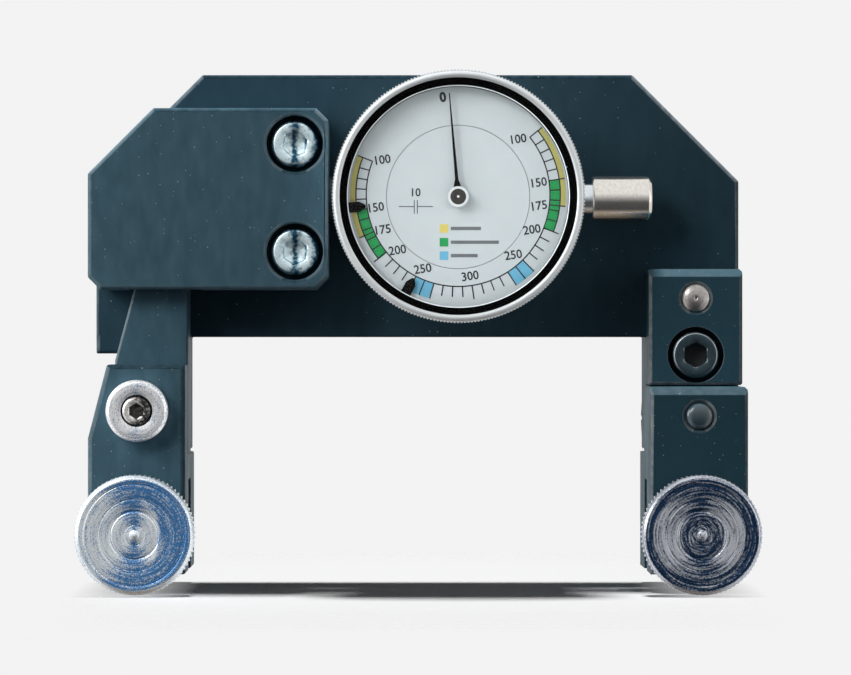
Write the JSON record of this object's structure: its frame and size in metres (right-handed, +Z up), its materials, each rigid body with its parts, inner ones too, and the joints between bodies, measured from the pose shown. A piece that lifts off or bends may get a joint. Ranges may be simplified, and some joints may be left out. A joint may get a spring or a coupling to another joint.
{
  "type": "bandsaw blade tension meter",
  "caption": "Arch-shaped extensometer that clamps on a bandsaw blade and shows its tension on a dial driven by a pivoted jaw lever.",
  "frame": {"origin": "on the blade's seat plane, midway between the two clamp screws and at their height", "axes": "X to the right along the blade, Y away from the user and square to the blade, Z up towards the dial"},
  "size_m": [0.1214, 0.0417, 0.0938],
  "materials": {
    "slate_paint": "satin slate-blue paint on machined metal",
    "zinc_plate": "bright zinc plate with turning marks",
    "black_steel": "black oxide",
    "plain_steel": "ground steel",
    "satin_chrome": "satin chrome plate",
    "aluminium": "milled",
    "brass": "stamped and turned",
    "bronze": "sintered bronze",
    "dial_white": "printed white dial",
    "black_trim": "black lacquer",
    "crystal_glass": "clear crystal"
  },
  "bodies": {
    "frame": {"frame": "slate_paint", "cover": "slate_paint", "cover_screws": "zinc_plate", "stem_saddle": "aluminium", "bracket": "slate_paint", "bracket_screw": "black_steel", "bracket_dowel": "plain_steel", "fixed_jaw": "slate_paint", "fixed_jaw_screws": "black_steel", "fixed_jaw_dowel": "slate_paint", "fixed_anvil": "plain_steel", "pivot_pin": "black_steel", "pivot_collar": "zinc_plate", "stop_pin": "plain_steel", "case": "satin_chrome", "case_back": "satin_chrome", "case_back_screws": "plain_steel", "stem": "satin_chrome", "neck": "satin_chrome", "end_cap": "satin_chrome", "bezel_ring_spring": "plain_steel", "dial_face": "dial_white", "front_plate": "brass", "rear_plate": "brass", "pillars": "brass", "return_spring": "plain_steel", "hairspring": "plain_steel"},
    "lever": {"moving_jaw": "slate_paint", "lever_arm": "slate_paint", "lever_screws": "black_steel", "pivot_bush": "bronze", "contact_button": "plain_steel", "moving_anvil": "plain_steel"},
    "left_pad": {"left_pad": "plain_steel"},
    "left_screw": {"left_clamp_screw": "zinc_plate"},
    "right_pad": {"right_pad": "plain_steel"},
    "right_screw": {"right_clamp_screw": "zinc_plate"},
    "bezel": {"bezel": "satin_chrome", "crystal": "crystal_glass", "gasket": "black_trim", "scale_ring": "dial_white"},
    "left_marker": {"left_marker": "black_trim"},
    "right_marker": {"right_marker": "black_trim"},
    "plunger": {"plunger": "plain_steel", "contact_tip": "plain_steel", "guide_pin": "plain_steel"},
    "rack_wheel": {"rack_arbor": "plain_steel", "rack_wheel": "brass"},
    "pointer": {"centre_arbor": "plain_steel", "pointer": "black_trim", "pointer_hub": "satin_chrome", "pointer_cap": "black_trim"},
    "take_up": {"take_up_arbor": "plain_steel", "take_up_wheel": "brass"}
  },
  "joints": [
    {"name": "pointer_turn", "type": "hinge", "parent": "frame", "child": "pointer", "pos_m": [0.0072, -0.016, 0.06], "axis": [0, 1, 0], "range_deg": [0, 541]},
    {"name": "lever_swing", "type": "hinge", "parent": "frame", "child": "lever", "pos_m": [-0.05, 0, 0.0218], "axis": [0, 1, 0], "range_deg": [0, 1.13], "stiffness_Nm_per_rad": 0.086, "springref_deg": -17.76},
    {"name": "plunger_slide", "type": "slide", "parent": "frame", "child": "plunger", "axis": [1, 0, 0], "range_m": [0, 0.000752], "deforming": ["return_spring"]},
    {"name": "rack_wheel_turn", "type": "hinge", "parent": "frame", "child": "rack_wheel", "pos_m": [-0.00132, -0.011, 0.062], "axis": [0, 1, 0], "range_deg": [-54.2, 0]},
    {"name": "take_up_turn", "type": "hinge", "parent": "frame", "child": "take_up", "pos_m": [0.01572, -0.011, 0.062], "axis": [0, 1, 0], "range_deg": [-54.2, 0], "deforming": ["hairspring"]},
    {"name": "bezel_turn", "type": "hinge", "parent": "frame", "child": "bezel", "pos_m": [0.0072, -0.016, 0.06], "axis": [0, 1, 0], "continuous": true},
    {"name": "left_marker_turn", "type": "hinge", "parent": "bezel", "child": "left_marker", "pos_m": [0.0072, -0.016, 0.06], "axis": [0, 1, 0], "range_deg": [-22, 180]},
    {"name": "right_marker_turn", "type": "hinge", "parent": "bezel", "child": "right_marker", "pos_m": [0.0072, -0.016, 0.06], "axis": [0, 1, 0], "range_deg": [-90, 22]},
    {"name": "left_pad_slide", "type": "slide", "parent": "lever", "child": "left_pad", "axis": [0, 1, 0], "range_m": [0, 0.0044]},
    {"name": "left_screw_turn", "type": "hinge", "parent": "left_pad", "child": "left_screw", "pos_m": [-0.05, -0.02, 0], "axis": [0, 1, 0], "range_deg": [0, 1585]},
    {"name": "right_pad_slide", "type": "slide", "parent": "frame", "child": "right_pad", "axis": [0, 1, 0], "range_m": [0, 0.0044]},
    {"name": "right_screw_turn", "type": "hinge", "parent": "right_pad", "child": "right_screw", "pos_m": [0.05, -0.02, 0], "axis": [0, 1, 0], "range_deg": [0, 1585]}
  ],
  "couplings": [
    {"joint": "pointer_turn", "follows": "lever_swing", "ratio": 480.04},
    {"joint": "plunger_slide", "follows": "lever_swing", "m_per_rad": 0.0382},
    {"joint": "rack_wheel_turn", "follows": "lever_swing", "ratio": -48.004},
    {"joint": "take_up_turn", "follows": "lever_swing", "ratio": -48.004},
    {"joint": "left_screw_turn", "follows": "left_pad_slide", "rad_per_m": 6283.2},
    {"joint": "right_screw_turn", "follows": "right_pad_slide", "rad_per_m": 6283.2}
  ]
}
